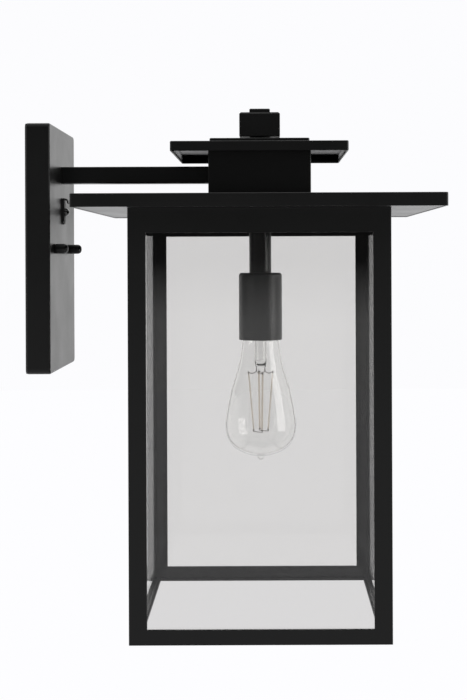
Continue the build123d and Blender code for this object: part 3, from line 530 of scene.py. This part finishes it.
def screw_tree():
    """Geometry Nodes: on every point of a mesh, a pan head screw with a cross recess, facing one way."""
    tree = bpy.data.node_groups.new("pan_head_screws", "GeometryNodeTree")
    tree.is_modifier = True
    face = tree.interface
    face.new_socket("Geometry", in_out="INPUT", socket_type="NodeSocketGeometry")
    for label, value in (("Head Radius", 0.003), ("Head Height", 0.0018), ("Shank Radius", 0.0015),
                         ("Shank Length", 0.008), ("Recess Width", 0.0006)):
        face.new_socket(label, in_out="INPUT", socket_type="NodeSocketFloat").default_value = value
    face.new_socket("Facing", in_out="INPUT", socket_type="NodeSocketVector").default_value = (0, 0, 1)
    face.new_socket("Material", in_out="INPUT", socket_type="NodeSocketMaterial")
    face.new_socket("Geometry", in_out="OUTPUT", socket_type="NodeSocketGeometry")
    size = wire(tree, "NodeGroupInput").outputs
    head = wire(tree, "GeometryNodeMeshCylinder", {
        "Vertices": 32, "Side Segments": 2, "Fill Segments": 4, "Radius": size["Head Radius"],
        "Depth": size["Head Height"]})
    spot = wire(tree, "ShaderNodeSeparateXYZ", {0: wire(tree, "GeometryNodeInputPosition").outputs[0]})
    flat = wire(tree, "ShaderNodeCombineXYZ", {0: spot.outputs[0], 1: spot.outputs[1]})
    reach = wire(tree, "ShaderNodeVectorMath", {0: flat.outputs[0]}, operation="LENGTH").outputs["Value"]
    share = compute(tree, "DIVIDE", reach, size["Head Radius"])
    most = compute(tree, "MULTIPLY", size["Head Height"], -HEAD_FALL)
    fall = compute(tree, "MULTIPLY", compute(tree, "POWER", share, HEAD_CURVE), most)
    upper = compute(tree, "GREATER_THAN", spot.outputs[2], 0.0)
    drop = wire(tree, "ShaderNodeCombineXYZ", {2: compute(tree, "MULTIPLY", fall, upper)})
    domed = wire(tree, "GeometryNodeSetPosition", {
        "Geometry": head.outputs["Mesh"], "Offset": drop.outputs[0]})
    lifted = wire(tree, "GeometryNodeTransform", {"Geometry": domed.outputs[0], "Translation": wire(
        tree, "ShaderNodeCombineXYZ", {2: compute(tree, "MULTIPLY", size["Head Height"], 0.5)}).outputs[0]})
    arm = compute(tree, "MULTIPLY", size["Head Radius"], RECESS_REACH)
    cutters = []
    for wide, deep in ((arm, size["Recess Width"]), (size["Recess Width"], arm)):
        extent = wire(tree, "ShaderNodeCombineXYZ", {0: wide, 1: deep, 2: size["Head Height"]})
        bar = wire(tree, "GeometryNodeMeshCube", {"Size": extent.outputs[0]})
        lift = compute(tree, "MULTIPLY", size["Head Height"], RECESS_LIFT)
        up = wire(tree, "ShaderNodeCombineXYZ", {2: lift})
        cutters.append(wire(tree, "GeometryNodeTransform", {
            "Geometry": bar.outputs["Mesh"], "Translation": up.outputs[0]}))
    cut = wire(tree, "GeometryNodeMeshBoolean", operation="DIFFERENCE", solver="EXACT")
    tree.links.new(lifted.outputs[0], cut.inputs["Mesh 1"])
    for cutter in cutters:
        tree.links.new(cutter.outputs[0], cut.inputs["Mesh 2"])
    shank = wire(tree, "GeometryNodeMeshCylinder", {"Vertices": 20, "Radius": size["Shank Radius"],
                                                    "Depth": size["Shank Length"]})
    down = wire(tree, "ShaderNodeCombineXYZ", {2: compute(tree, "MULTIPLY", size["Shank Length"], -0.5)})
    sunk = wire(tree, "GeometryNodeTransform", {
        "Geometry": shank.outputs["Mesh"], "Translation": down.outputs[0]})
    screw = wire(tree, "GeometryNodeJoinGeometry")
    tree.links.new(cut.outputs["Mesh"], screw.inputs[0])
    tree.links.new(sunk.outputs[0], screw.inputs[0])
    facing = wire(tree, "FunctionNodeAlignRotationToVector", {"Vector": size["Facing"]}, axis="Z")
    each = wire(tree, "GeometryNodeInstanceOnPoints", {
        "Points": size["Geometry"], "Instance": screw.outputs[0], "Rotation": facing.outputs[0]})
    real = wire(tree, "GeometryNodeRealizeInstances", {0: each.outputs[0]})
    dressed = wire(tree, "GeometryNodeSetMaterial", {
        "Geometry": real.outputs[0], "Material": size["Material"]})
    wire(tree, "NodeGroupOutput", {0: dressed.outputs[0]})
    return tree


SCREWS = screw_tree()


def grown(name, points, tree, values):
    """Plain mesh that a Geometry Nodes tree makes on a cloud of points, with its inputs set by name."""
    seed = new_piece(f"{name}_points", lambda bm: [bm.verts.new(p) for p in points])
    modifier = seed.modifiers.new("nodes", "NODES")
    modifier.node_group = tree
    keys = {item.name: item.identifier for item in tree.interface.items_tree if item.in_out == "INPUT"}
    for label, value in values.items():
        modifier[keys[label]] = value
    graph = bpy.context.evaluated_depsgraph_get()
    data = bpy.data.meshes.new_from_object(seed.evaluated_get(graph))
    data.name = name
    piece = bpy.data.objects.new(name, data)
    scene.collection.objects.link(piece)
    bpy.data.objects.remove(seed)
    return piece


def islands(name):
    """Lowest and highest corner of each separate solid of a CAD node."""
    bm = bmesh.new()
    bm.from_mesh(NODES[name].data)
    bmesh.ops.remove_doubles(bm, verts=bm.verts, dist=SAME_POINT)
    left, groups = set(bm.verts), []
    while left:
        front, group = [left.pop()], []
        while front:
            vert = front.pop()
            group.append(vert.co.copy())
            near = [e.other_vert(vert) for e in vert.link_edges]
            fresh = [v for v in near if v in left]
            left.difference_update(fresh)
            front += fresh
        low = Vector([min(p[i] for p in group) for i in range(3)])
        high = Vector([max(p[i] for p in group) for i in range(3)])
        groups.append((low, high))
    bm.free()
    return sorted(groups, key=lambda g: tuple(g[0]))


CLIP_SHEET, RECESS = 0.001, 0.0007
screw_boxes = islands("clip_screws")
first_low, first_high = screw_boxes[0]
head_r = (first_high.x - first_low.x) / 2
clip_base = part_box("glass_clips")[1].z - CLIP_SHEET
seats = [Vector(((a.x + b.x) / 2, (a.y + b.y) / 2, clip_base)) for a, b in screw_boxes]
roof_screws = grown("clip_screws_pan_head", seats, SCREWS, {
    "Head Radius": head_r, "Head Height": clip_base - first_low.z, "Shank Radius": head_r / 2,
    "Shank Length": first_high.z - clip_base, "Recess Width": RECESS, "Facing": (0, 0, -1),
    "Material": zinc})
placed(roof_screws, zinc, "lantern", "zinc_steel", "clip_screws")

# ------------------------------------------------------------------ stem and socket cover
# A round black stem hangs from the soffit over the lamp pipe and ends in a spun steel cover, painted a
# softer dark grey, that hides the lamp holder. The cover is open below, with a thin rolled rim.
SHEET, COVER_ROUND, RIM_ROUND, BURR = 0.0012, 0.0024, 0.0005, 0.0002
STEM_SIDES, COVER_SIDES = 96, 128

low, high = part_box("stem_tube")
axis_x, axis_y = (low.x + high.x) / 2, (low.y + high.y) / 2
stem_r, stem_long = (high.x - low.x) / 2, high.z - low.z
stem_shape = [(stem_r - SHEET, 0), (stem_r - BURR, 0), (stem_r, BURR), (stem_r, stem_long)]
stem_shape += [(stem_r - SHEET, stem_long)]
stem_foot = (axis_x, axis_y, low.z)
stem = new_piece("stem_turned", lambda bm: turned(bm, stem_shape, stem_foot, (0, 0, 1), STEM_SIDES))
placed(stem, black_coat, "lantern", "black_powder_coat", "stem_tube")

cover_low, cover_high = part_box("socket_cover")
cover_r, cover_long = (cover_high.x - cover_low.x) / 2, cover_high.z - cover_low.z
pipe_r = (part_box("lamp_pipe")[1].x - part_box("lamp_pipe")[0].x) / 2
inner_r = cover_r - SHEET
cover_shape = [(inner_r, 2 * BURR), (inner_r + SHEET / 2 - BURR / 2, 0)]
cover_shape += arc((cover_r - RIM_ROUND, RIM_ROUND), RIM_ROUND, -60, 0, 4)
cover_shape += arc((cover_r - COVER_ROUND, cover_long - COVER_ROUND), COVER_ROUND, 0, 90)
cover_shape += [(pipe_r, cover_long), (pipe_r, cover_long - SHEET)]
cover_shape += [(inner_r - COVER_ROUND / 2, cover_long - SHEET)]
cover_shape += [(inner_r, cover_long - SHEET - COVER_ROUND / 2)]
cover_foot = (axis_x, axis_y, cover_low.z)
cover = new_piece("socket_cover_spun",
                  lambda bm: turned(bm, cover_shape, cover_foot, (0, 0, 1), COVER_SIDES))
socket_grey = coated("socket_grey", 0.0050, 0.34, 0.12, 0.34)
placed(cover, socket_grey, "lantern", "socket_grey", "socket_cover")

# ------------------------------------------------------------------ lamp holder
# Glazed porcelain body with a rolled brass screw shell and a sprung brass contact, under a steel bridge
# that threads on the lamp pipe.
brass = metal("brass", (0.72, 0.55, 0.27), (0.55, 0.40, 0.18), 0.30)
finish(brass, "socket_shell", "socket_contact")
porcelain = moulded("porcelain", (0.80, 0.79, 0.75), 0.16, 240.0, 0.08)
porcelain.node_tree.nodes["Principled BSDF"].inputs["Coat Weight"].default_value = 0.5
finish(porcelain, "socket_insulator")
finish(moulded("lead_black", (0.012, 0.012, 0.012), 0.42, 1500.0, 0.1), "lead_black")
finish(moulded("lead_white", (0.74, 0.74, 0.71), 0.42, 1500.0, 0.1), "lead_white")

# ------------------------------------------------------------------ bulb
# A clear blown pear bulb on a nickel plated screw cap. Inside, a flared glass mount ends in a flat press
# that carries four upright filament strips on bent wires. All of it turns in the lamp holder.
BULB_SKIN, BULB_TINT, BULB_INDEX = 0.0008, (0.985, 0.985, 0.98), 1.47
BORE_R, TIP_STEP = 0.0002, 18
PEAR = ((11.8, -70.0), (11.9, -74.5), (13.2, -77.2), (16.3, -82.2), (17.1, -88.0), (19.2, -100.7),
        (22.2, -112.5), (26.0, -124.2), (28.8, -136.8), (31.0, -149.0), (32.0, -158.0), (31.3, -166.0),
        (28.8, -172.9), (23.6, -179.3), (15.5, -183.9), (8.0, -186.2), (3.2, -187.0))
MILLI = 0.001


def through(points, steps):
    """Smooth line through a list of points, as Catmull-Rom spans of so many steps each."""
    line = []
    for i in range(len(points) - 1):
        a, b, c, d = (Vector(points[min(max(k, 0), len(points) - 1)]) for k in (i - 1, i, i + 1, i + 2))
        for s in range(steps):
            t = s / steps
            line.append(0.5 * (2 * b + (c - a) * t + (2 * a - 5 * b + 4 * c - d) * t * t
                               + (3 * b - a - 3 * c + d) * t * t * t))
    return line + [Vector(points[-1])]


def inward(line, distance):
    """A profile moved towards its axis side by a wall thickness."""
    moved = []
    for i, point in enumerate(line):
        run = line[min(i + 1, len(line) - 1)] - line[max(i - 1, 0)]
        moved.append(point + Vector((run.y, -run.x)).normalized() * distance)
    return moved


def pear(bm):
    outer = through([(r * MILLI, z * MILLI) for r, z in PEAR], 4)
    inner = inward(outer, BULB_SKIN)
    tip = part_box("bulb_glass")[0].z
    end = outer[-1]
    nub = [(end.x * cos(radians(a)), end.y + (tip - end.y) * sin(radians(a)))
           for a in range(TIP_STEP, 90, TIP_STEP)]
    closed_end = (0.0, inner[-1].y)
    shape = [closed_end] + [(max(p.x, BORE_R), p.y) for p in reversed(inner)]
    shape += [(p.x, p.y) for p in outer] + nub + [(0.0, tip)]
    turned(bm, shape, (axis_x, axis_y, 0), (0, 0, 1), 96)


bulb_clear = glass("bulb_clear", BULB_TINT, BULB_INDEX)
placed(new_piece("bulb_pear", pear), bulb_clear, "bulb", "bulb_clear", "bulb_glass")

THREAD_TURNS, THREAD_DEPTH, CAP_SKIN, CAP_NECK, CAP_LIP = 6, 0.00035, 0.0004, 0.0012, 0.0102


def threaded_cap(bm):
    low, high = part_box("bulb_cap")
    mean = (high.x - low.x) / 2 - THREAD_DEPTH - CAP_SKIN / 2
    sides, rows = 72, 12 * THREAD_TURNS
    rings = []
    for wall, order in ((CAP_SKIN / 2, 1), (-CAP_SKIN / 2, -1)):
        skin = []
        for row in range(rows + 1):
            share = row / rows
            fade = min(1.0, 6 * share, 6 * (1 - share))
            z = low.z + (high.z - CAP_NECK - low.z) * share
            waves = [cos(2 * pi * (THREAD_TURNS * share - i / sides)) for i in range(sides)]
            skin.append([(mean + wall + fade * THREAD_DEPTH * wave, i, z) for i, wave in enumerate(waves)])
        rings += skin[::order]
    top = [[(CAP_LIP, i, z) for i in range(sides)] for z in (high.z, high.z - CAP_SKIN)]
    rings = rings[:rows + 1] + top + rings[rows + 1:]
    turn = [(cos(2 * pi * i / sides), sin(2 * pi * i / sides)) for i in range(sides)]
    skin_rings(bm, [[Vector((axis_x + r * turn[i][0], axis_y + r * turn[i][1], z)) for r, i, z in ring]
                    for ring in rings], closed=True)


nickel = metal("nickel_cap", (0.66, 0.64, 0.60), (0.52, 0.50, 0.46), 0.24)
placed(new_piece("bulb_cap_threaded", threaded_cap), nickel, "bulb", "nickel_cap", "bulb_cap")
finish(moulded("vitrite", (0.006, 0.006, 0.008), 0.08, 260.0, 0.05), "bulb_insulator")
finish(brass, "bulb_contact")

MOUNT_R, MOUNT_SKIN, MOUNT_LOW, PRESS_LOW = 0.0054, 0.0008, -0.1010, -0.1070
PRESS_WIDE, PRESS_THIN, PRESS_STEPS, PRESS_ROUND = 0.00465, 0.0018, 6, 0.0003
FLARE = ((10.8, -73.8), (8.4, -75.6), (6.6, -78.6), (5.6, -82.2), (5.4, -86.0), (5.4, -92.0), (5.4, -101.0))


def flared_mount(bm):
    outer = through([(r * MILLI, z * MILLI) for r, z in FLARE], 4)
    inner = inward(outer, MOUNT_SKIN)
    sides = 48
    spin = [(cos(2 * pi * i / sides), sin(2 * pi * i / sides)) for i in range(sides)]
    rings = [[(0.0, 0.0, inner[-1].y)]]
    rings += [[(p.x * c, p.x * s, p.y) for c, s in spin] for p in reversed(inner)]
    rings += [[(p.x * c, p.x * s, p.y) for c, s in spin] for p in outer]
    for step in range(1, PRESS_STEPS + 1):
        t = step / PRESS_STEPS
        ease = t * t * (3 - 2 * t)
        half_wide, half_thin = (MOUNT_R + (end - MOUNT_R) * ease for end in (PRESS_WIDE, PRESS_THIN))
        z = MOUNT_LOW + (PRESS_LOW - MOUNT_LOW) * t
        rings.append([(half_wide * c, half_thin * s, z) for c, s in spin])
    rings.append([(0.0, 0.0, PRESS_LOW - PRESS_ROUND)])
    skin_rings(bm, [[Vector((axis_x + x, axis_y + y, z)) for x, y, z in ring] for ring in rings])


glass_mount = new_piece("bulb_mount_flared", flared_mount)
placed(glass_mount, bulb_clear, "bulb", "bulb_clear", "bulb_mount")

FILAMENT_TOP, FILAMENT_END, FILAMENT_TURN = (0.0110, -0.1116), (0.0065, -0.1639), 9.0
STRIP_WIDE, STRIP_THIN, STRIP_SIDES, WIRE, CRIMP = 0.0008, 0.0006, 14, 0.00032, 0.00085
HOOK_R, HOOK_FOOT, HOOK_DIP, KNEE = 0.0037, -0.1118, 0.0011, 0.0008


def spoke(turn, radius, height):
    """Point at a turn about the bulb's axis, in degrees, at a radius and a height."""
    return Vector((axis_x + radius * cos(radians(turn)), axis_y + radius * sin(radians(turn)), height))


def tube(bm, points, wide, thin=None, sides=12, face=None):
    """Closed round or oval tube along points, with rounded ends."""
    thin = thin or wide
    rings = [[points[0]]]
    for i, point in enumerate(points):
        run = (points[min(i + 1, len(points) - 1)] - points[max(i - 1, 0)]).normalized()
        across = (face or run.orthogonal()).cross(run).normalized()
        other = run.cross(across)
        slim = 0.6 if i in (0, len(points) - 1) else 1.0
        spins = [2 * pi * k / sides for k in range(sides)]
        rings.append([point + slim * (wide * across * cos(a) + thin * other * sin(a)) for a in spins])
    rings.append([points[-1]])
    skin_rings(bm, rings)


STRIP_TURNS = [FILAMENT_TURN + 90 * i for i in range(4)]


def strips(bm):
    for turn in STRIP_TURNS:
        top, end = spoke(turn, *FILAMENT_TOP), spoke(turn, *FILAMENT_END)
        line = [top.lerp(end, t) for t in (0.0, 0.012, 0.25, 0.5, 0.75, 0.988, 1.0)]
        out = Vector((cos(radians(turn)), sin(radians(turn)), 0))
        tube(bm, line, STRIP_WIDE, STRIP_THIN, STRIP_SIDES, out)


def hooks(bm):
    for i, turn in enumerate(STRIP_TURNS):
        end = 0 if i < 2 else 180
        radius, height = FILAMENT_TOP
        out = [(HOOK_R, PRESS_LOW + 0.0015), (HOOK_R, PRESS_LOW - 0.0012), (HOOK_R + 0.0002, -0.1106)]
        line = [spoke(end, r, z) for r, z in out]
        mid = spoke(end, HOOK_R, HOOK_FOOT).lerp(spoke(turn, radius, height), 0.5)
        line += [mid + Vector((0, 0, -HOOK_DIP)), spoke(turn, radius, height + 0.0003)]
        line.append(spoke(turn, radius + 0.0001, height + 0.0012))
        tube(bm, through(line, 5), WIRE, sides=8)
    for i in range(0, 4, 2):
        ends = [spoke(STRIP_TURNS[k], FILAMENT_END[0], FILAMENT_END[1] - 0.0002) for k in (i, i + 1)]
        knees = [end + Vector((0, 0, -KNEE)) for end in ends]
        tube(bm, through([ends[0], *knees, ends[1]], 6), WIRE, sides=8)
    for turn in STRIP_TURNS:
        for end, step in ((FILAMENT_TOP, -1), (FILAMENT_END, 1)):
            foot = spoke(turn, *end)
            line = [foot + Vector((0, 0, step * rise)) for rise in (0, 0.0006, 0.0014)]
            tube(bm, line, CRIMP, sides=12)


PHOSPHOR_CLEAR, PHOSPHOR_INDEX = 0.9, 1.08
phosphor = moulded("filament", (0.86, 0.77, 0.67), 0.5, 3000.0, 0.3)
see_through = phosphor.node_tree.nodes["Principled BSDF"]
see_through.inputs["Transmission Weight"].default_value = PHOSPHOR_CLEAR
see_through.inputs["IOR"].default_value = PHOSPHOR_INDEX
placed(new_piece("bulb_filament_strips", strips), phosphor, "bulb", "filament", "bulb_filaments")
drawn_wire = metal("support_wire", (0.30, 0.28, 0.26), (0.22, 0.2, 0.19), 0.4)
placed(new_piece("bulb_wire_hooks", hooks), drawn_wire, "bulb", "support_wire", "bulb_wires")
